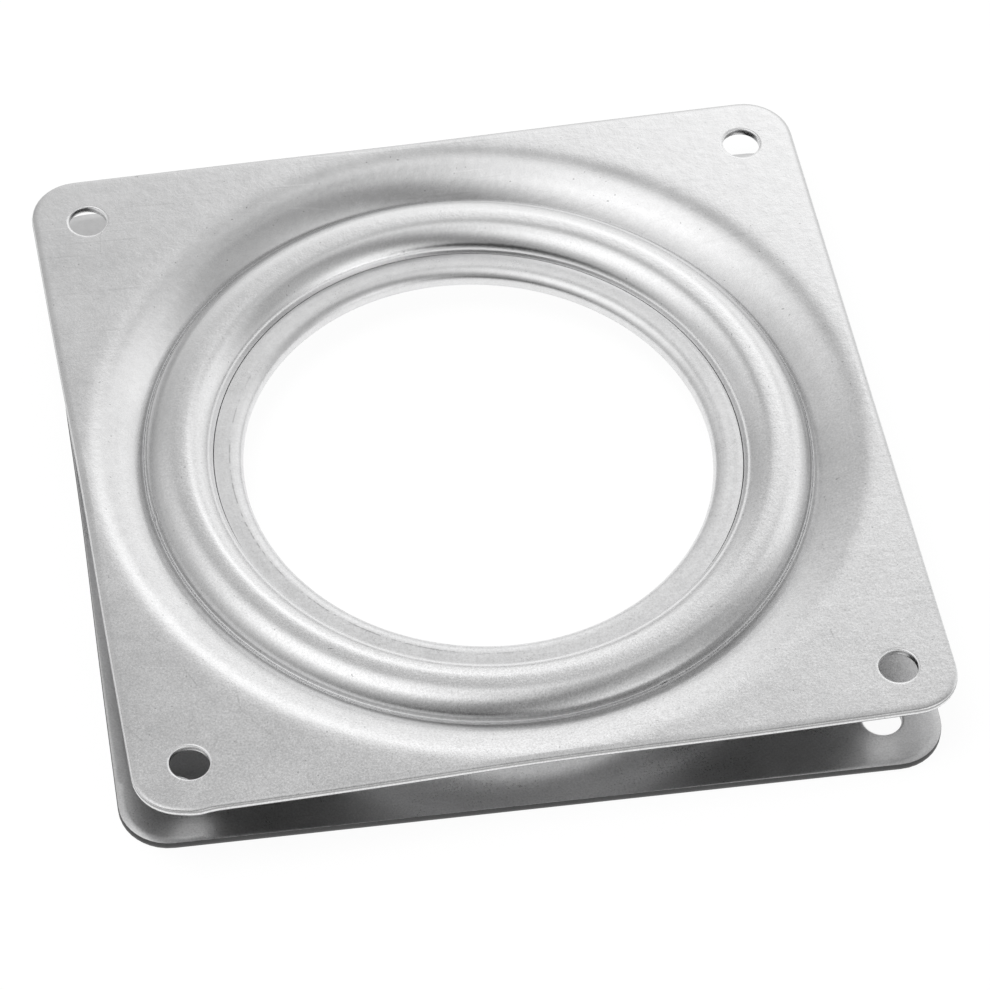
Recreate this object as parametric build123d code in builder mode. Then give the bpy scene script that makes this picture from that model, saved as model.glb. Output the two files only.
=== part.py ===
"""Square ball-bearing turntable: two dished steel plates, a retaining ring and one row of balls.

Millimetres, +Z up. The origin is on the swivel axis, at the underside of the lower plate.
"""

from build123d import *

import math
import os

# Overall size and mounting
plate_side = 101.6
plate_corner_radius = 6.2
overall_height = 9.53
screw_edge_distance = 7.15
screw_hole_diameter = 4.9
rest_swivel = 2.05

# Sheet metal
plate_sheet = 1.05
ring_sheet = 0.7

# Dish pressed into both plates, measured on the faces that look at each other
shoulder_slope = 50.0
shoulder_straight = 0.1
shoulder_root = 1.65
shoulder_foot_clearance = 0.06
land_gap = 0.4

# Balls and the races they run in
ball_diameter = 3.969
ball_gap = 0.25
race_to_screw = 23.93
race_clearance = 0.05
race_side_clearance = 0.1655
race_wall_angle = 45.0
race_corner_radius = 1.5
upper_lip_drop = 0.95

# Retaining ring, its bends measured on the face over the race
ring_crest_depth = 0.55
ring_crest_gap = 0.3
ring_rim_gap = 0.25
ring_foot_reach = 4.0
ring_rim_width = 0.5
ring_outer_wall_angle = 55.6
ring_inner_wall_angle = 83.0
ring_outer_crest_radius = 2.7
ring_inner_crest_radius = 2.44
ring_foot_radius = 1.05

# Rolled hub of the lower plate
hem_reach = 4.5
hem_width = 3.5
hub_fold_radius = 0.3
hem_crevice = 0.35
hub_flange_clearance = 0.05

# Heights that follow from the sizes above
mid_height = overall_height / 2
upper_flat_under = overall_height - plate_sheet
upper_land_under = mid_height + land_gap / 2
lower_land_top = mid_height - land_gap / 2
ring_crest_top = overall_height - ring_crest_depth
upper_race_top = ring_crest_top - ring_sheet - ring_crest_gap - plate_sheet
ball_height = upper_race_top - race_clearance - ball_diameter / 2
lower_race_bottom = ball_height - ball_diameter / 2 - race_clearance
ring_rim_top = upper_land_under + plate_sheet + ring_rim_gap + ring_sheet
ring_rim_under = ring_rim_top - ring_sheet
ring_crest_under = ring_crest_top - ring_sheet
hub_web_top = mid_height - ring_sheet / 2
hub_flange_top = hub_web_top + ring_sheet

# Radii that follow from the sizes above
blank_radius = plate_side
screw_spacing = plate_side - 2 * screw_edge_distance
pitch_radius = screw_spacing / math.sqrt(2) - race_to_screw
race_radius = ball_diameter / 2 + race_side_clearance
race_wall = math.radians(race_wall_angle)
race_apex_rise = race_radius / math.cos(race_wall) - race_radius
hem_edge_radius = pitch_radius - hem_reach
hub_bore_radius = hem_edge_radius - hem_width
hub_tube_outer_radius = hub_bore_radius + plate_sheet
ring_flange_radius = hub_tube_outer_radius + hub_fold_radius + hub_flange_clearance
ring_inner_foot_radius = hem_edge_radius + hem_crevice
ring_rim_foot_radius = pitch_radius + ring_foot_reach
ring_rim_radius = ring_rim_foot_radius + ring_rim_width

# Dish: its foot clears the ring's rim, and its round crown takes the depth that the straight and the root leave
slope = math.radians(shoulder_slope)
dish_depth = upper_flat_under - upper_land_under
shoulder_foot_corner = ring_rim_radius + shoulder_foot_clearance + plate_sheet * math.tan(slope / 2)
shoulder_top_corner = shoulder_foot_corner + dish_depth / math.tan(slope)
curved_depth = dish_depth - shoulder_straight * math.sin(slope)
shoulder_crown = curved_depth / (1 - math.cos(slope)) - shoulder_root


def race_reach(height_to_apex):
    """Radial distance from the pitch circle to a race wall, at a height counted from the wall's apex."""
    return height_to_apex / math.tan(race_wall)


def ring_corners(foot_radius, foot_height, wall_angle, inward):
    """Foot and crest corners of a wall of the ring on its underside, from the foot's radius on top."""
    angle = math.radians(wall_angle)
    foot = foot_radius - inward * ring_sheet * math.tan(angle / 2)
    crest = foot - inward * (ring_crest_under - foot_height) / math.tan(angle)
    return (foot, foot_height), (crest, ring_crest_under)


# Upper plate: section of its underside from the corner flats in to the lip inside the ball race
upper_apex = upper_race_top + race_apex_rise
upper_lip_height = upper_race_top - upper_lip_drop
with BuildPart() as upper_plate:
    with BuildSketch(Plane.XZ):
        with BuildLine():
            FilletPolyline(
                (blank_radius, upper_flat_under),
                (shoulder_top_corner, upper_flat_under),
                (shoulder_foot_corner, upper_land_under),
                (pitch_radius + race_reach(upper_apex - upper_land_under), upper_land_under),
                (pitch_radius, upper_apex),
                (pitch_radius - race_reach(upper_apex - upper_lip_height), upper_lip_height),
                radius=[shoulder_crown, shoulder_root, race_corner_radius, race_radius],
            )
            offset(amount=plate_sheet, side=Side.RIGHT)
        make_face()
    revolve(axis=Axis.Z)
    with BuildSketch(Plane.XY.rotated((0, 0, rest_swivel))):
        RectangleRounded(plate_side, plate_side, plate_corner_radius)
        with GridLocations(screw_spacing, screw_spacing, 2, 2):
            Circle(screw_hole_diameter / 2, mode=Mode.SUBTRACT)
    extrude(amount=overall_height, mode=Mode.INTERSECT)
upper_plate.part.label = "upper_plate"

# Lower plate: section of its top face from the corner flats in to the hub, which is rolled out over the ring
lower_apex = lower_race_bottom - race_apex_rise
with BuildPart() as lower_plate:
    with BuildSketch(Plane.XZ):
        with BuildLine():
            FilletPolyline(
                (blank_radius, plate_sheet),
                (shoulder_top_corner, plate_sheet),
                (shoulder_foot_corner, lower_land_top),
                (pitch_radius + race_reach(lower_land_top - lower_apex), lower_land_top),
                (pitch_radius, lower_apex),
                (pitch_radius - race_reach(hub_web_top - lower_apex), hub_web_top),
                (hub_tube_outer_radius, hub_web_top),
                (hub_tube_outer_radius, hub_flange_top),
                (hem_edge_radius, hub_flange_top),
                radius=[
                    shoulder_crown,
                    shoulder_root,
                    race_corner_radius,
                    race_radius,
                    race_corner_radius,
                    hub_fold_radius,
                    hub_fold_radius,
                ],
            )
            offset(amount=plate_sheet, side=Side.LEFT)
        make_face()
    revolve(axis=Axis.Z)
    with BuildSketch():
        RectangleRounded(plate_side, plate_side, plate_corner_radius)
        with GridLocations(screw_spacing, screw_spacing, 2, 2):
            Circle(screw_hole_diameter / 2, mode=Mode.SUBTRACT)
    extrude(amount=overall_height, mode=Mode.INTERSECT)
lower_plate.part.label = "lower_plate"

# Retaining ring: section of its underside, from the flange under the hub's hem to the rim over the upper plate
inner_foot, inner_crest = ring_corners(ring_inner_foot_radius, hub_web_top, ring_inner_wall_angle, -1)
outer_foot, outer_crest = ring_corners(ring_rim_foot_radius, ring_rim_under, ring_outer_wall_angle, 1)
with BuildPart() as retaining_ring:
    with BuildSketch(Plane.XZ):
        with BuildLine():
            FilletPolyline(
                (ring_flange_radius, hub_web_top),
                inner_foot,
                inner_crest,
                outer_crest,
                outer_foot,
                (ring_rim_radius, ring_rim_under),
                radius=[ring_foot_radius, ring_inner_crest_radius, ring_outer_crest_radius, ring_foot_radius],
            )
            offset(amount=ring_sheet, side=Side.LEFT)
        make_face()
    revolve(axis=Axis.Z)
retaining_ring.part.label = "retaining_ring"

os.makedirs("parts", exist_ok=True)
for piece in (upper_plate, lower_plate, retaining_ring):
    export_step(piece.part, f"parts/{piece.part.label}.step")

# Balls: one row, each ball a piece of its own
ball_count = int(2 * math.pi * pitch_radius / (ball_diameter + ball_gap))
ball_step = 360 / ball_count
for index in range(ball_count):
    angle = math.radians(index * ball_step)
    centre = (pitch_radius * math.cos(angle), pitch_radius * math.sin(angle), ball_height)
    with BuildPart() as ball:
        with Locations(centre):
            Sphere(ball_diameter / 2)
    ball.part.label = f"ball_{index + 1:02d}"
    export_step(ball.part, f"parts/{ball.part.label}.step")
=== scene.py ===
import math

import bmesh
import bpy
import numpy as np
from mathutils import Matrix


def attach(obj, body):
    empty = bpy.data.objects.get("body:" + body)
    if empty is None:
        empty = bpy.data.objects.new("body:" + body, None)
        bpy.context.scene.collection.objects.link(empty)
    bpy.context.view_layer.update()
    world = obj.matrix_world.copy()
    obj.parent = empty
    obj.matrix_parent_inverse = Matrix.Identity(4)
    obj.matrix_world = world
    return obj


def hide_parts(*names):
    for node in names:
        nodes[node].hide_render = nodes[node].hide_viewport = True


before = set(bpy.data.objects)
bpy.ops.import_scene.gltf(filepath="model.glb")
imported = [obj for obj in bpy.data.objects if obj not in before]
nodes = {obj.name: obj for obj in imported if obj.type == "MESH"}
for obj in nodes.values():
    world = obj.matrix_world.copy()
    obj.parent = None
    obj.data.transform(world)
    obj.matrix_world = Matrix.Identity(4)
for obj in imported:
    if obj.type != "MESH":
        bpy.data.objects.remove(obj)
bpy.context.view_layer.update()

mm = 0.001
mergeDistance = 2e-6
print("frame loaded:", len(nodes), "nodes")

# Sizes shared by the two pressed plates, in millimetres and degrees
plate = {
    "side": 101.6, "corner": 6.2, "height": 9.53, "sheet": 1.05,
    "screwSpacing": 87.3, "screwHole": 2.45, "restSwivel": 2.05,
    "slope": 47.5, "straight": 0.1, "root": 1.65, "footClearance": -0.42, "landGap": 0.4,
    "pitch": 37.8, "race": 2.15, "ball": 3.969, "raceClearance": 0.05, "raceCorner": 1.5,
    # On the next line, lip shine is the strength of a painted highlight on the upper plate's lip
    "lipDrop": 0.95, "lipSoft": 0.12, "lipHighlight": 0.3, "ease": {"spread": 1.1, "inner": 46.5, "outer": 80},
}
# The ring: sheet and heights, walls, bends, the coined rim, its two kinks, the painted highlight on its rim
# and painted shade on its outer wall
ring = {
    "sheet": 0.7, "crestDepth": 0.55, "crestGap": 0.3, "rimGap": 0.04, "footReach": 4.37, "rimWidth": 0.13,
    "outerWall": 55.6, "innerWall": 77.0, "outerCrest": 2.7, "innerCrest": 2.6, "foot": 0.85,
    "crevice": 0.03, "ease": {"spread": 0.6, "inner": 35.4, "outer": 40.6}, "around": 560,
    "coined": 0.25, "coinedFrom": 41.8, "coinedOver": 0.5,
    "kinks": (187.5, 293.6), "kinkDepth": 0.12, "kinkWidth": 0.8, "kinkFrom": 41.9,
    # From here: where the rim's painted highlight starts, and where and how strong the painted shade on the
    # outer wall and its thin line are
    "highlightFrom": 42.17, "shadeFrom": 40.4, "shadeShare": 0.35, "lineAt": 42.03, "lineShade": 0.5, "lineWidth": 0.11,
}
hub = {
    "hemReach": 4.5, "hemWidth": 3.5, "fold": 0.3, "clearance": 0.05, "slant": 0.225,
    # Hem shine is the strength of a painted highlight on the hem's cut edge
    "partedAt": 45.0, "hemHighlight": 0.4,
}

middle = plate["height"] / 2
upperFlat = plate["height"] - plate["sheet"]
upperLand = middle + plate["landGap"] / 2
lowerLand = middle - plate["landGap"] / 2
crestTop = plate["height"] - ring["crestDepth"]
crestUnder = crestTop - ring["sheet"]
raceTop = crestTop - ring["sheet"] - ring["crestGap"] - plate["sheet"]
raceBottom = raceTop - plate["ball"] - 2 * plate["raceClearance"]
rimTop = upperLand + plate["sheet"] + ring["rimGap"] + ring["sheet"]
rimUnder = rimTop - ring["sheet"]
webTop = middle - ring["sheet"] / 2
flangeTop = webTop + ring["sheet"]
apexRise = plate["race"] * (math.sqrt(2) - 1)
rimFoot = plate["pitch"] + ring["footReach"]
slope = math.radians(plate["slope"])
dish = upperFlat - upperLand
footCorner = rimFoot + ring["rimWidth"] + plate["footClearance"] + plate["sheet"] * math.tan(slope / 2)
shoulderCorner = footCorner + dish / math.tan(slope)
crown = (dish - plate["straight"] * math.sin(slope)) / (1 - math.cos(slope)) - plate["root"]
hemRadius = plate["pitch"] - hub["hemReach"]
tubeRadius = hemRadius - hub["hemWidth"] + plate["sheet"]
blankRadius = plate["side"] * 0.72


# Straight runs between the corners, each corner rounded by a tangent arc. The arc starts at corner -
# run * radius * tan(turn / 2), and its points are centre - normal * radius. Gives the points and the unit
# normals on the left of the way.
def bentLine(corners, radii, step):
    corners = np.array(corners, float)
    way = np.diff(corners, axis=0)
    way /= np.hypot(way[:, 0], way[:, 1])[:, None]
    heading = np.arctan2(way[:, 1], way[:, 0])
    turn = (np.diff(heading) + np.pi) % (2 * np.pi) - np.pi
    reach = np.append(np.array(radii) * np.tan(np.abs(turn) / 2), 0)
    points, normals = [], []
    begin = corners[0]
    for i, run in enumerate(way):
        end = corners[i + 1] - run * reach[i]
        left = np.array([-run[1], run[0]])
        count = max(2, int(np.hypot(*(end - begin)) / step) + 2)
        straight = begin + (end - begin) * np.linspace(0, 1, count)[:, None]
        points.append(straight if i == len(turn) else straight[:-1])
        normals.append(np.tile(left, (len(points[-1]), 1)))
        if i < len(turn):
            side = np.sign(turn[i])
            bend = max(5, int(abs(turn[i]) * radii[i] / step) + 2)
            swing = turn[i] * np.linspace(0, 1, bend)
            normal = np.stack([left[0] * np.cos(swing) - left[1] * np.sin(swing),
                               left[0] * np.sin(swing) + left[1] * np.cos(swing)], 1)
            arc = end + left * radii[i] * side - normal * radii[i] * side
            points.append(arc[:-1])
            normals.append(normal[:-1])
            begin = arc[-1]
    return np.concatenate(points), np.concatenate(normals)


# Bends eased in and out: each point moves to the mean of the line round it, weighed by a bell curve of
# the given spread along the line, by a share of 1 between the two radii that falls to 0 over one
# millimetre outside them.
def eased(points, normals, spread, inner, outer):
    step = 0.05
    along = np.append(0, np.cumsum(np.hypot(*np.diff(points, axis=0).T)))
    even = np.arange(0, along[-1], step)
    columns = np.concatenate([points, normals], 1).T
    line = np.stack([np.interp(even, along, column) for column in columns], 1)
    reach = round(4 * spread / step)
    bell = np.exp(-((np.arange(-reach, reach + 1) * step / spread) ** 2) / 2)
    padded = np.concatenate([2 * line[0] - line[reach:0:-1], line, 2 * line[-1] - line[-2:-reach - 2:-1]])
    smooth = np.stack([np.convolve(column, bell / bell.sum(), "valid") for column in padded.T], 1)
    share = np.clip(line[:, :1] - inner + 1, 0, 1) * np.clip(outer + 1 - line[:, :1], 0, 1)
    line += (smooth - line) * share
    line = np.stack([np.interp(along, even, column) for column in line.T], 1)
    return line[:, :2], line[:, 2:] / np.hypot(line[:, 2], line[:, 3])[:, None]


# A cut end of sheet: corner arcs of radii soft and softFar on its faces, back = unit way into the sheet
def cutEnd(first, second, back, soft, softFar):
    across = (second - first) / np.hypot(*(second - first))
    share = np.linspace(0, np.pi / 2, 5)[:, None]
    near = first + back * soft * (1 - np.sin(share)) + across * soft * (1 - np.cos(share))
    far = second + back * softFar * (1 - np.sin(share)) - across * softFar * (1 - np.cos(share))
    return np.concatenate([near, far[::-1]])


def steelObject(name, vertices, faces, cut, body, replaced):
    mesh = bpy.data.meshes.new(name)
    mesh.from_pydata(vertices * mm, [], faces)
    # Per point: above zero a painted highlight, below zero painted shade; the size of either also adds
    # roughness
    paintedLightMarks = mesh.attributes.new("cut", "FLOAT", "POINT")
    paintedLightMarks.data.foreach_set("value", cut.astype(np.float32))
    work = bmesh.new()
    work.from_mesh(mesh)
    bmesh.ops.remove_doubles(work, verts=work.verts, dist=mergeDistance)
    loose = [v for v in work.verts if not v.link_faces]
    bmesh.ops.delete(work, geom=loose, context="VERTS")
    bmesh.ops.recalc_face_normals(work, faces=work.faces)
    openEdges = sum(1 for e in work.edges if len(e.link_faces) != 2)
    work.to_mesh(mesh)
    work.free()
    mesh.polygons.foreach_set("use_smooth", np.ones(len(mesh.polygons), bool))
    made = bpy.data.objects.new(name, mesh)
    bpy.context.scene.collection.objects.link(made)
    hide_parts(replaced)
    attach(made, body)
    print(name, len(mesh.polygons), "faces,", openEdges, "open edges")
    return made


# Faces between the points of a grid, row after row. Each row closes into a ring, and closed joins the
# last row to the first.
def gridFaces(rows, size, closed=False):
    row, col = np.divmod(np.arange((rows if closed else rows - 1) * size), size)
    nextRow = (row + 1) % rows
    nextCol = (col + 1) % size
    corners = (row * size + col, nextRow * size + col, nextRow * size + nextCol, row * size + nextCol)
    return np.stack(corners, -1)


# Surface of revolution: a closed or open line of (radius, height) swept round the axis, trim = change of
# radius at each point of the line and each turn
def turned(line, around, closed, trim=0.0):
    turns = np.linspace(0, 2 * np.pi, around, endpoint=False)
    radius = np.repeat(line[:, :1], around, 1) + trim
    rise = np.repeat(line[:, 1:2], around, 1)
    vertices = np.stack([radius * np.cos(turns), radius * np.sin(turns), rise], -1)
    return vertices.reshape(-1, 3), gridFaces(len(line), around, closed)


# How a cut side runs down from its top face: (inset, drop as a share of the sheet, shine), the shine being a
# painted highlight above zero and painted shade below zero
blankEdge = np.array([
    (0.95, 0.0, 0.0), (0.65, 0.004, -0.1), (0.42, 0.014, -0.25), (0.26, 0.035, -0.35), (0.16, 0.08, -0.1),
    (0.09, 0.14, 0.3), (0.05, 0.22, -0.9), (0.04, 0.42, -0.9), (0.01, 0.5, -0.1), (0.0, 0.6, 0.0),
    (0.0, 0.74, -0.1), (0.02, 0.82, -0.6), (0.08, 0.97, -0.9), (0.16, 1.0, 0.0),
])
# The lower plate's cut sides: painted shade nearly all the way down
footEdge = np.array([
    (0.06, 0.0, 0.0), (0.04, 0.01, -0.9), (0.01, 0.04, -1.0), (0.0, 0.1, -1.0), (0.0, 0.5, -1.0),
    (0.0, 0.85, -0.9), (0.02, 0.96, -0.8), (0.08, 1.0, 0.0),
])
# The screw holes' sides: a painted highlight at the top corner, painted shade below
holeEdge = np.array([
    (0.2, 0.0, 0.0), (0.11, 0.02, 1.0), (0.03, 0.08, 1.0), (0.0, 0.2, -0.3), (0.0, 0.6, -0.6),
    (0.02, 0.85, -0.3), (0.06, 1.0, 0.0),
])
# How far the right, far, left and near sides are drawn in: (all along, and more at the middle), the
# second one falling off along the side as a bell curve of this width
drawnInUpper = ((0.05, 0.0), (0.0, 0.15), (0.0, 0.2), (0.28, 0.38))
drawnInLower = ((0.0, 0.05), (0.0, 0.15), (0.0, 0.2), (0.0, 0.0))
drawnInWidth = 17.0
# A burr on the round of the upper plate's near left corner: where it stands, how far out, how wide
cornerBurr = {"turn": 229.3, "reach": 0.27, "width": 0.9}
# The grid of the plates' faces: points round the axis, radius where it starts, rows out to the edge, and
# the patch round each screw hole: its first row, half its width in columns, its rings and how they crowd
# to the hole
grid = {
    "around": 480, "blend": 48.0, "rows": 30,
    "cornerRow": 13, "cornerHalf": 8, "holeRings": 7, "holeCrowding": 1.6,
}


# Rounded square seen from its centre: the outline point in each direction, side / 2 over the larger
# cosine on the straights and centre + radius on the corners, with the outward normal there
def outline(turns, half, corner, drawnIn, burr):
    way = np.stack([np.cos(turns), np.sin(turns)], -1)
    point = way * (half / np.abs(way).max(-1))[:, None]
    normal = np.where(np.abs(way) == np.abs(way).max(-1)[:, None], np.sign(way), 0.0)
    onCorner = np.abs(point).min(-1) > half - corner
    centre = np.sign(way) * (half - corner)
    along = (way * centre).sum(-1)
    reach = along + np.sqrt(np.maximum(along**2 - (centre**2).sum(-1) + corner**2, 0))
    rounded = way * reach[:, None]
    point[onCorner] = rounded[onCorner]
    normal[onCorner] = ((rounded - centre) / corner)[onCorner]
    for quarter, (even, atMiddle) in enumerate(drawnIn):
        facing = np.array([math.cos(quarter * math.pi / 2), math.sin(quarter * math.pi / 2)])
        along = point @ np.array([-facing[1], facing[0]])
        depth = even + atMiddle * np.exp(-((along / drawnInWidth) ** 2))
        inward = np.clip(normal @ facing, 0, 1) ** 2 * depth
        point = point - facing * inward[:, None]
    if burr:
        away = np.degrees((turns - math.radians(burr["turn"]) + np.pi) % (2 * np.pi) - np.pi)
        point = point + normal * (burr["reach"] * np.exp(-(away / burr["width"]) ** 2))[:, None]
    return point, normal


# One pressed plate. Inside the blend radius it is its section swept round the axis. Outside, both faces
# are a grid of turn by row, row 0 on the blend circle and the last on the outline, with an O-shaped
# patch round each screw hole and heights read from the section at each point's own radius. The cut sides
# join the two faces.
def pressedPlate(topLine, lipLine, lipHighlight, bottomLine, steps, drawnIn, burr):
    around, rows, cornerRow, half = grid["around"], grid["rows"], grid["cornerRow"], grid["cornerHalf"]
    vertices, faces, cut = [], [], []
    count = 0

    def add(points, quads, mark):
        nonlocal count
        vertices.append(points)
        faces.append(quads + count)
        cut.append(np.broadcast_to(mark, len(points)))
        count += len(points)

    def height(points, line):
        radius = np.hypot(points[..., 0], points[..., 1])
        order = np.argsort(line[:, 0])
        return np.interp(radius, line[order, 0], line[order, 1])

    turns = np.linspace(0, 2 * np.pi, around, endpoint=False)
    circle = np.stack([np.cos(turns), np.sin(turns)], -1) * grid["blend"]
    edge, normal = outline(turns, plate["side"] / 2, plate["corner"], drawnIn, burr)
    share = np.linspace(0, 1, rows + 1)[:, None, None]
    corners = [around // 8 + quarter * around // 4 for quarter in range(4)]
    kept = np.ones((rows, around), bool)
    for middleTurn in corners:
        kept[cornerRow:, (np.arange(middleTurn - half, middleTurn + half)) % around] = False
    skin = gridFaces(rows + 1, around)[kept.ravel()]
    holeRims, outerRims = [], []
    for line, side in ((topLine, 0), (bottomLine, -1)):
        rim = edge - normal * steps[side, 0]
        flat = circle + (rim - circle) * share
        points = np.concatenate([flat, height(flat, line)[..., None]], -1)
        add(points.reshape(-1, 3), skin, 0.0)
        outerRims.append(points[-1])
        rims = []
        for middleTurn in corners:
            span = (np.arange(middleTurn - half, middleTurn + half + 1)) % around
            loop = np.concatenate([
                flat[cornerRow, span], flat[cornerRow + 1:, span[-1]],
                flat[rows, span[-2::-1]], flat[rows - 1:cornerRow:-1, span[0]],
            ])
            middleHole = np.sign(circle[middleTurn]) * plate["screwSpacing"] / 2
            out = loop - middleHole
            out /= np.hypot(out[:, 0], out[:, 1])[:, None]
            hole = middleHole + out * (plate["screwHole"] + holeEdge[side, 0])
            widen = (np.linspace(0, 1, grid["holeRings"] + 1) ** grid["holeCrowding"])[:, None, None]
            patch = hole + (loop - hole) * widen
            patch = np.concatenate([patch, height(patch, line)[..., None]], -1)
            add(patch.reshape(-1, 3), gridFaces(*patch.shape[:2]), 0.0)
            rims.append((middleHole, out, patch[0]))
        holeRims.append(rims)

    def cutSide(first, last, pointAt, levels):
        levelRows = [first] + [
            np.concatenate([pointAt(inset), (first[:, 2:] + (last[:, 2:] - first[:, 2:]) * drop)], -1)
            for inset, drop, shine in levels[1:-1]
        ] + [last]
        points = np.stack(levelRows)
        add(points.reshape(-1, 3), gridFaces(*points.shape[:2]), np.repeat(levels[:, 2], points.shape[1]))

    cutSide(outerRims[0], outerRims[1], lambda inset: edge - normal * inset, steps)
    for (middleHole, out, first), (_, _, last) in zip(*holeRims):
        cutSide(first, last, lambda inset: middleHole + out * (plate["screwHole"] + inset), holeEdge)

    inner = topLine[topLine[:, 0] < grid["blend"]]
    under = bottomLine[bottomLine[:, 0] < grid["blend"]]
    startTop = np.array([[grid["blend"], height(circle[:1], topLine)[0]]])
    startBottom = np.array([[grid["blend"], height(circle[:1], bottomLine)[0]]])
    section = np.concatenate([startTop, inner, lipLine, under[::-1], startBottom])
    marks = np.zeros(len(section))
    # Painted highlight on the lip
    marks[1 + len(inner): 1 + len(inner) + len(lipLine)] = lipHighlight
    swept, quads = turned(section, around, False)
    add(swept, quads, np.repeat(marks, around))
    return np.concatenate(vertices), np.concatenate(faces), np.concatenate(cut)


# Upper plate, its underside drawn from the blank in to the lip. Inside the grid it needs fewer points.
upperApex = raceTop + apexRise
lipHeight = raceTop - plate["lipDrop"]
underside, left = bentLine([
    (blankRadius, upperFlat), (shoulderCorner, upperFlat), (footCorner, upperLand),
    (plate["pitch"] + upperApex - upperLand, upperLand), (plate["pitch"], upperApex),
    (plate["pitch"] - upperApex + lipHeight, lipHeight),
], [crown, plate["root"], plate["raceCorner"], plate["race"]], 0.1)
underside, left = eased(underside, left, **plate["ease"])
kept = (underside[:, 0] > grid["blend"] - 0.5) | (np.arange(len(underside)) % 4 == 0)
kept[-2:] = True
underside, left = underside[kept], left[kept]
topside = underside - left * plate["sheet"]
back = (topside[-2] - topside[-1]) / np.hypot(*(topside[-2] - topside[-1]))
lip = cutEnd(topside[-1], underside[-1], back, plate["lipSoft"], plate["lipSoft"])
swivel = math.radians(plate["restSwivel"])
swivelTurn = np.array([[math.cos(swivel), math.sin(swivel)], [-math.sin(swivel), math.cos(swivel)]])
points, quads, cut = pressedPlate(
    topside[:-1], lip, plate["lipHighlight"], underside[:-1], blankEdge, drawnInUpper, cornerBurr)
points[:, :2] = points[:, :2] @ swivelTurn
upper = steelObject("upperPlate", points, quads.tolist(), cut, "top", "upper_plate")

# Lower plate with its rolled hub, its top face drawn from the blank in to the hem's edge
lowerApex = raceBottom - apexRise
upside, left = bentLine([
    (blankRadius, plate["sheet"]), (shoulderCorner, plate["sheet"]), (footCorner, lowerLand),
    (plate["pitch"] + lowerLand - lowerApex, lowerLand), (plate["pitch"], lowerApex),
    (plate["pitch"] - webTop + lowerApex, webTop), (tubeRadius, webTop),
    (tubeRadius, flangeTop), (hemRadius, flangeTop),
], [
    crown, plate["root"], plate["raceCorner"], plate["race"], plate["raceCorner"], hub["fold"], hub["fold"],
], 0.55)
downside = upside + left * plate["sheet"]
hem = cutEnd(upside[-1], downside[-1] + [hub["slant"], 0], np.array([-1.0, 0.0]), 0.12, 0.06)
# The grid's outer part reads its heights from the plate's own faces only, so the hub goes into the lip
lastRow = int(np.argmin(np.abs(upside[:, 0] - hub["partedAt"])))
hubLine = np.concatenate([upside[lastRow:-1], hem, downside[lastRow:-1][::-1]])
unmarked = np.zeros(len(upside) - 1 - lastRow)
# Painted highlight on the hem's cut edge, none on the faces beside it
hubHighlight = np.concatenate([unmarked, np.full(len(hem), hub["hemHighlight"]), unmarked])
points, quads, cut = pressedPlate(
    upside[:lastRow], hubLine, hubHighlight, downside[:lastRow], footEdge, drawnInLower, None)
lower = steelObject("lowerPlate", points, quads.tolist(), cut, "base", "lower_plate")


# Foot and crest corners of a wall of the ring on its underside, from the foot's radius on top
def ringCorners(footRadius, footHeight, wall, inward):
    angle = math.radians(wall)
    foot = footRadius - inward * ring["sheet"] * math.tan(angle / 2)
    return (foot, footHeight), (foot - inward * (crestUnder - footHeight) / math.tan(angle), crestUnder)


# Retaining ring, its underside drawn from the flange under the hem out to the rim, which is coined thinner
# towards its cut edge. The cut carries a painted highlight at its upper corner and painted shade below.
innerFoot, innerCrest = ringCorners(hemRadius + ring["crevice"], webTop, ring["innerWall"], -1)
outerFoot, outerCrest = ringCorners(rimFoot, rimUnder, ring["outerWall"], 1)
ringUnder, left = bentLine([
    (tubeRadius + hub["fold"] + hub["clearance"], webTop), innerFoot, innerCrest, outerCrest, outerFoot,
    (rimFoot + ring["rimWidth"], rimUnder),
], [ring["foot"], ring["innerCrest"], ring["outerCrest"], ring["foot"]], 0.22)
ringUnder, left = eased(ringUnder, left, **ring["ease"])
ringTopside = ringUnder + left * ring["sheet"]
coin = np.clip((ringTopside[:, 0] - ring["coinedFrom"]) / ring["coinedOver"], 0, 1) ** 2
ringTopside[:, 1] -= ring["coined"] * coin
rimCut = cutEnd(ringTopside[-1], ringUnder[-1], np.array([-1.0, 0.0]), 0.18, 0.04)
flangeCut = cutEnd(ringUnder[0], ringTopside[0], np.array([1.0, 0.0]), 0.1, 0.1)
section = np.concatenate([ringTopside[1:-1], rimCut, ringUnder[1:-1][::-1], flangeCut])
rimStart = len(ringTopside) - 2
outward = section[:rimStart, 0]
# Painted shade on the outer wall, growing outward, plus a thin painted shade line just inside the rim;
# beyond that line the rim's top carries a painted highlight
shadeLine = ring["lineShade"] * np.exp(-((outward - ring["lineAt"]) / ring["lineWidth"]) ** 2)
shadeShare = ring["shadeShare"] * np.clip(outward - ring["shadeFrom"], 0, 1) + shadeLine
marks = np.zeros(len(section))
marks[:rimStart] = np.where(outward > ring["highlightFrom"], 1.0, -shadeShare)
# The rim's cut: painted highlight on its upper corner, painted shade below
marks[rimStart: rimStart + len(rimCut)] = np.where(np.arange(len(rimCut)) < 4, 1.0, -0.8)
turns = np.degrees(np.linspace(0, 2 * np.pi, ring["around"], endpoint=False))
dents = sum(
    -ring["kinkDepth"] * np.exp(-((turns - place) / ring["kinkWidth"]) ** 2) for place in ring["kinks"])
points, quads = turned(section, ring["around"], True, dents * (section[:, :1] > ring["kinkFrom"]))
cut = np.repeat(marks, ring["around"])
band = steelObject("retainingRing", points, quads.tolist(), cut, "base", "retaining_ring")
print("sheet metal made")


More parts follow.
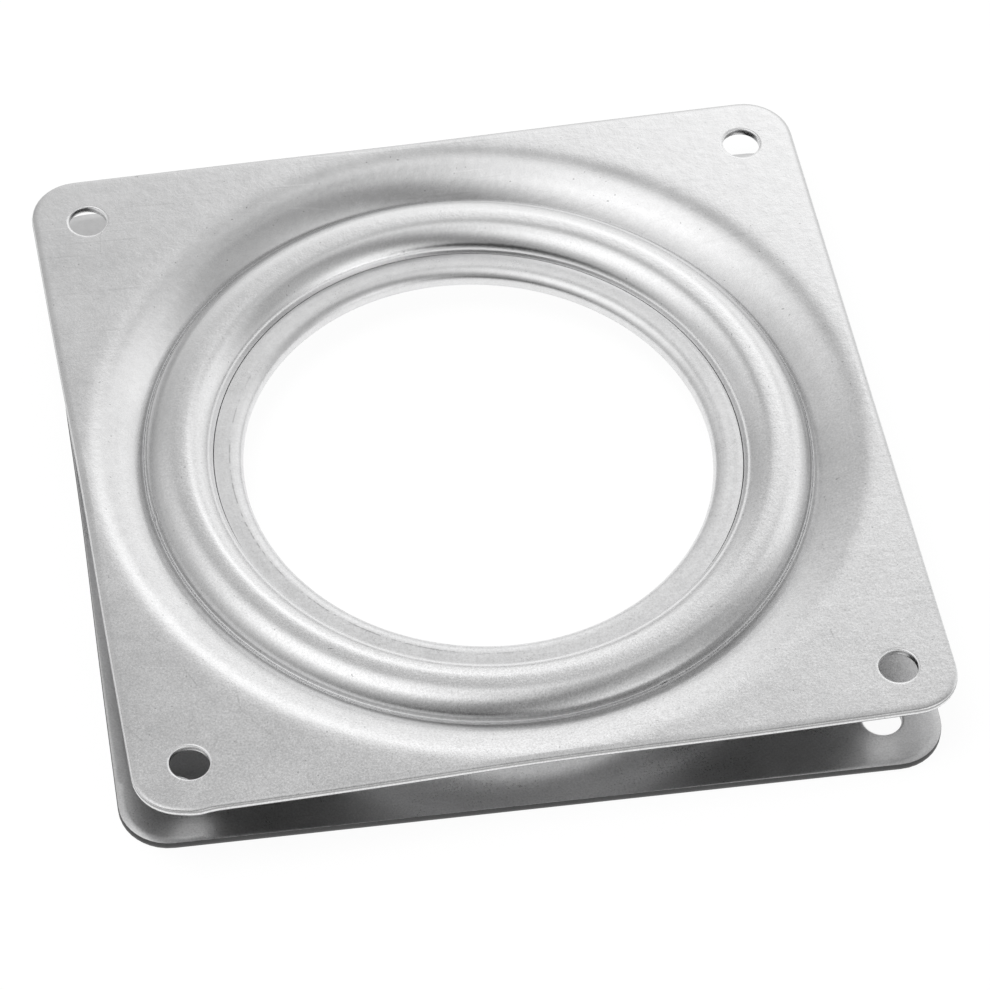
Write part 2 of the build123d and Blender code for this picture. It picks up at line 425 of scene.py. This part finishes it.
# One output of a shader node: arithmetic on it adds Math nodes, node() adds any other
class Wire:
    def __init__(self, tree, socket=None):
        self.tree, self.socket = tree, socket

    def node(self, kind, settings=None, values=None, output=0):
        made = self.tree.nodes.new(kind)
        for name, value in (settings or {}).items():
            setattr(made, name, value)
        for name, value in (values or {}).items():
            if isinstance(value, Wire):
                self.tree.links.new(value.socket, made.inputs[name])
            else:
                made.inputs[name].default_value = value
        return Wire(self.tree, made.outputs[output] if len(made.outputs) else None)

    def vector(self, operation, values, output="Vector"):
        return self.node("ShaderNodeVectorMath", {"operation": operation}, values, output)

    def math(self, operation, first, second=0.0, clamp=False):
        settings = {"operation": operation, "use_clamp": clamp}
        return self.node("ShaderNodeMath", settings, {0: first, 1: second})

    def __add__(self, other):
        return self.math("ADD", self, other)

    def __sub__(self, other):
        return self.math("SUBTRACT", self, other)

    def __rsub__(self, other):
        return self.math("SUBTRACT", other, self)

    def __mul__(self, other):
        return self.math("MULTIPLY", self, other)

    def clamped(self):
        return self.math("ADD", self, 0.0, True)


def newMaterial(name):
    made = bpy.data.materials.new(name)
    made.use_nodes = True
    made.node_tree.nodes.clear()
    return made, Wire(made.node_tree)


# What the three sheets share: where the grain is crisp (by place in metres), the turned rings, the painted
# shade on the outer part, the specks, the painted shade along the crease on the hub's left, scratches and
# strokes (by place in millimetres), and the painted highlight and painted shade on the cuts
finish = {
    "crispWay": (2.0, -9.0, 0.0), "crispMiddle": 0.6, "ringPitch": 2.0, "shadeFrom": 37.0, "shadeRise": 0.2,
    "speckContrast": 22.0, "creaseRadius": 31.55, "creaseSharp": 8.0, "creaseWay": (-60.0, -35.0, 0.0),
    "creaseFrom": 0.7, "creaseBreaks": 9.0, "scratchStretch": (0.045, 2.6, 1.0), "scratchContrast": 16.0,
    "strokeSharp": 7.0, "highlightTone": 0.97, "cutRoughness": 0.25, "blueTint": 1.004, "mottleBump": 2.2,
}


# Zinc-coated sheet: fine grain, a coarser mottle and slow cloudy stains in tone and roughness, small dark
# specks, thin handling scratches that fade in and out along their way, and single strokes; on top, painted
# shade on the outer part and along the crease, and painted highlight and painted shade from the marks
def zincSheet(name, look):
    material, start = newMaterial(name)
    place = start.node("ShaderNodeTexCoord", output="Object")
    inMm = start.vector("SCALE", {0: place, "Scale": 1000.0})

    def noise(scale, detail, rough, vector=inMm):
        values = {"Vector": vector, "Scale": scale, "Detail": detail, "Roughness": rough}
        return start.node("ShaderNodeTexNoise", None, values) - 0.5

    grain = noise(3.8, 3.0, 0.8)
    mottle = noise(0.9, 2.0, 0.6)
    cloud = noise(0.16, 3.0, 0.55)
    nearer = start.vector("DOT_PRODUCT", {0: place, 1: finish["crispWay"]}, "Value")
    crisp = (nearer + finish["crispMiddle"]).clamped()
    flatPlace = start.vector("MULTIPLY", {0: inMm, 1: (1.0, 1.0, 0.0)})
    radius = start.vector("LENGTH", {0: flatPlace}, "Value")
    onlyRadius = start.node("ShaderNodeCombineXYZ", None, {"X": radius * finish["ringPitch"]})
    rings = noise(0.9, 3.0, 0.8, onlyRadius)
    # Painted shade on the outer flats, which lie under the upper plate, growing outward from a given radius
    shadeShare = ((radius - finish["shadeFrom"]) * finish["shadeRise"]).clamped() * look["shadeOutside"]
    cut = start.node("ShaderNodeAttribute", {"attribute_name": "cut"}, output="Fac")
    tone = grain * crisp * look["grainTone"] + mottle * look["mottleTone"] + cloud * look["cloudTone"]
    tone = (tone + look["tone"] + rings * look["ringTone"]) * (1.0 - shadeShare)
    specks = (noise(2.6, 0.0, 0.5) - look["speckLevel"]) * finish["speckContrast"]
    tone = tone - specks.clamped() * look["speckTone"]
    # A thin painted shade line along the crease on the hub's left, broken into dashes
    offLine = start.math("ABSOLUTE", radius - finish["creaseRadius"])
    leftSide = start.vector("DOT_PRODUCT", {0: place, 1: finish["creaseWay"]}, "Value")
    broken = (noise(0.7, 2.0, 0.6) * finish["creaseBreaks"] + 0.5).clamped()
    creaseShade = (1.0 - offLine * finish["creaseSharp"]).clamped() * (leftSide - finish["creaseFrom"]).clamped()
    tone = tone - creaseShade * broken * look["creaseShade"]
    for angle, level, strength in look["scratches"]:
        turnedPlace = start.node("ShaderNodeMapping", None, {
            "Vector": inMm, "Rotation": (0.0, 0.0, math.radians(angle)), "Scale": finish["scratchStretch"]})
        line = (noise(1.0, 0.0, 0.4, turnedPlace) - level) * finish["scratchContrast"]
        tone = tone + line.clamped() * (noise(0.12, 1.0, 0.5) + 0.5) * strength
    for x, y, endX, endY, strength in look["strokes"]:
        way = (endX - x, endY - y, 0.0)
        square = way[0] ** 2 + way[1] ** 2
        fromStart = start.vector("SUBTRACT", {0: flatPlace, 1: (x, y, 0.0)})
        perLength = (way[0] / square, way[1] / square, 0.0)
        share = start.vector("DOT_PRODUCT", {0: fromStart, 1: perLength}, "Value").clamped()
        nearest = start.vector("SCALE", {0: way, "Scale": share})
        off = start.vector("DISTANCE", {0: fromStart, 1: nearest}, "Value")
        tone = tone - (1.0 - off * finish["strokeSharp"]).clamped() * strength
    roughness = cloud * look["cloudRoughness"] + grain * look["grainRoughness"] + look["roughness"]
    roughness = roughness + cut * cut * finish["cutRoughness"]
    # Marks above zero paint a highlight towards a fixed light tone, marks below zero paint shade
    bright, paintedShade = cut.clamped(), (0.0 - cut).clamped()
    tone = tone + bright * (finish["highlightTone"] - tone) - paintedShade * tone * look["paintedShadeDepth"]
    colour = start.node("ShaderNodeCombineColor", None, {0: tone, 1: tone, 2: tone * finish["blueTint"]})
    bump = start.node("ShaderNodeBump", None, {
        "Strength": 1.0, "Distance": 1.0,
        "Height": (grain + mottle * finish["mottleBump"]) * (look["bump"] * mm)})
    shader = start.node("ShaderNodeBsdfPrincipled", None, {
        "Base Color": colour, "Metallic": 1.0, "Roughness": roughness, "Normal": bump})
    start.node("ShaderNodeOutputMaterial", None, {"Surface": shader})
    return material


# Scratches are (angle, level, strength), strokes (start x, start y, end x, end y, strength), bright
# below zero
upperLook = {
    "tone": 0.80, "roughness": 0.20, "creaseShade": 0.0, "grainTone": 0.74, "mottleTone": 0.12, "cloudTone": 0.12,
    "cloudRoughness": 0.10, "grainRoughness": 0.12, "speckLevel": 0.325, "speckTone": 0.30, "bump": 0.006,
    "ringTone": 0.0, "shadeOutside": 0.0, "paintedShadeDepth": 0.55,
    "scratches": ((28.0, 0.27, 0.07), (-63.0, 0.26, -0.07), (71.0, 0.28, -0.07)),
    "strokes": (
        (-41.1, -31.3, -39.8, -34.1, 0.12), (-35.3, -34.2, -35.1, -38.2, 0.10),
        (-35.1, -38.2, -34.4, -39.0, 0.07), (-49.2, -38.7, -47.2, -41.5, 0.11),
        (-33.9, -40.0, -31.7, -42.6, 0.09), (-44.8, -25.3, -43.5, -26.9, 0.10),
        (-43.6, 42.1, -44.1, 36.6, 0.08), (38.0, -35.6, 38.2, -36.9, 0.18),
        (-46.0, -30.5, -41.2, -31.2, -0.10),
    ),
}
# The lower plate carries painted shade on its outer flats, along the crease and on its cut sides
lowerLook = dict(upperLook, strokes=(), roughness=0.30, creaseShade=0.35, mottleTone=0.14, speckTone=0.1,
                 ringTone=0.14, shadeOutside=0.22, paintedShadeDepth=0.86)
ringLook = dict(upperLook, strokes=(), tone=0.81, roughness=0.19, grainTone=0.8, mottleTone=0.06,
                cloudTone=0.06, ringTone=0.04)
upper.data.materials.append(zincSheet("zincUpper", upperLook))
lower.data.materials.append(zincSheet("zincLower", lowerLook))
band.data.materials.append(zincSheet("zincRing", ringLook))

ballMaterial, start = newMaterial("greasedBall")
place = start.node("ShaderNodeTexCoord", output="Object")
film = start.node("ShaderNodeTexNoise", None, {"Vector": place, "Scale": 900.0})
shine = start.node("ShaderNodeBsdfPrincipled", None, {
    "Base Color": (0.78, 0.77, 0.75, 1), "Metallic": 1.0, "Roughness": (film - 0.5) * 0.2 + 0.18})
start.node("ShaderNodeOutputMaterial", None, {"Surface": shine})
for name, node in nodes.items():
    if name.startswith("ball_"):
        node.data.materials.clear()
        node.data.materials.append(ballMaterial)
print("materials made")

# Floor: nearly white to the camera and in the metal, with a faint shadow
stage = {"reach": 4, "drop": 0.0002, "diffuse": 0.85, "glow": 1.035, "glowShare": 0.9}
reach, drop = stage["reach"], stage["drop"]
floorMesh = bpy.data.meshes.new("floor")
floorMesh.from_pydata(
    [(-reach, -reach, -drop), (reach, -reach, -drop), (reach, reach, -drop), (-reach, reach, -drop)],
    [], [(0, 1, 2, 3)])
floor = bpy.data.objects.new("floor", floorMesh)
bpy.context.scene.collection.objects.link(floor)
floorMaterial, start = newMaterial("paleFloor")
byCamera, byGloss, byGlass = (start.node("ShaderNodeLightPath", output=f"Is {kind} Ray")
                              for kind in ("Camera", "Glossy", "Transmission"))
seen = (byCamera + byGloss + byGlass).clamped()
matte = start.node("ShaderNodeBsdfDiffuse", None, {"Color": (*[stage["diffuse"]] * 3, 1)})
glow = start.node("ShaderNodeEmission", None, {"Color": (1, 1, 1, 1), "Strength": stage["glow"]})
mixed = start.node("ShaderNodeMixShader", None, {0: seen * stage["glowShare"], 1: matte, 2: glow})
start.node("ShaderNodeOutputMaterial", None, {"Surface": mixed})
floorMesh.materials.append(floorMaterial)

# Studio light: an even pale room with long soft boxes that fade at their edges. Each box is (degrees to
# the right of straight overhead, degrees behind it, brightness, length, width, turn), brightness below
# zero for a dark screen.
studio = {
    "room": 0.32, "darkest": 0.04, "edgeOn": 0.15,
    "boxes": {
        "overheadStrip": (2, 18, 0.42, 52, 13, 12),
        "frontOverhead": (-11, -8, 0.94, 43, 24, 16),
        "backWall": (18, 56, 0.90, 55, 32, 1),
        "backSpot": (20, 37, 0.53, 7, 22, 51),
        "lowBack": (40, 103, 0.20, 7, 62, -42),
        "lowFrontRight": (63, -81, 1.57, 48, 26, -41),
        "overheadScreen": (14, -7, -0.66, 62, 20, -98),
        "lowFrontScreen": (-4, -74, -0.57, 62, 6, -5),
        "backScreen": (2.5, 42, -0.50, 60, 13, -32),
        "backStrip": (13, 44, 0.56, 10, 6, 76),
        "rightStrip": (71, 13, 0.20, 62, 10, -15),
        "leftBox": (-92, 16, 0.31, 17, 55, -31),
    },
}
world = bpy.data.worlds.new("studio")
bpy.context.scene.world = world
world.use_nodes = True
world.node_tree.nodes.clear()
start = Wire(world.node_tree)
toward = start.node("ShaderNodeTexCoord", output="Generated")
light = studio["room"]
for right, behind, strength, length, width, turn in studio["boxes"].values():
    away = math.radians(math.hypot(right, behind))
    side = math.atan2(behind, right)
    aim = (math.sin(away) * math.cos(side), math.sin(away) * math.sin(side), math.cos(away))
    outward = (math.cos(away) * math.cos(side), math.cos(away) * math.sin(side), -math.sin(away))
    across = (-math.sin(side), math.cos(side), 0.0)
    spin = math.radians(turn) - side
    longReach, wideReach = math.sin(math.radians(length)), math.sin(math.radians(width))
    longAxis = [(math.cos(spin) * o + math.sin(spin) * a) / longReach for o, a in zip(outward, across)]
    wideAxis = [(math.cos(spin) * a - math.sin(spin) * o) / wideReach for o, a in zip(outward, across)]
    facing, along, wide = (start.vector("DOT_PRODUCT", {0: toward, 1: axis}, "Value")
                           for axis in (aim, longAxis, wideAxis))
    fade = start.math("EXPONENT", 0.0 - (along * along + wide * wide))
    front = start.math("DIVIDE", 1.0, start.math("EXPONENT", facing * (-1 / studio["edgeOn"])) + 1.0)
    light = fade * front * strength + light
light = start.math("MAXIMUM", light, studio["darkest"])
sky = start.node("ShaderNodeBackground", None, {"Color": (1, 1, 1, 1), "Strength": light})
start.node("ShaderNodeOutputWorld", None, {"Surface": sky})

lampData = bpy.data.lights.new("overheadBox", "AREA")
lampData.shape = "RECTANGLE"
lampData.size = 0.5
lampData.size_y = 0.5
lampData.energy = 3.0
lamp = bpy.data.objects.new("overheadBox", lampData)
lamp.location = (-0.25, 0.1, 0.95)
lamp.rotation_euler = (0.0, math.radians(-14), 0.0)
lamp.visible_glossy = False
bpy.context.scene.collection.objects.link(lamp)

# Camera at the photograph's angle
cameraData = bpy.data.cameras.new("camera")
cameraData.sensor_width = 36.0
cameraData.lens = 177.66
cameraData.clip_start = 0.05
cameraData.clip_end = 20.0
camera = bpy.data.objects.new("camera", cameraData)
camera.location = (-0.07482, -0.38123, 0.48742)
camera.rotation_euler = [math.radians(a) for a in (38.385, -2.033, -8.882)]
bpy.context.scene.collection.objects.link(camera)
bpy.context.scene.camera = camera
bpy.context.scene.view_settings.view_transform = "Standard"
print("studio made")

bpy.context.view_layer.update()
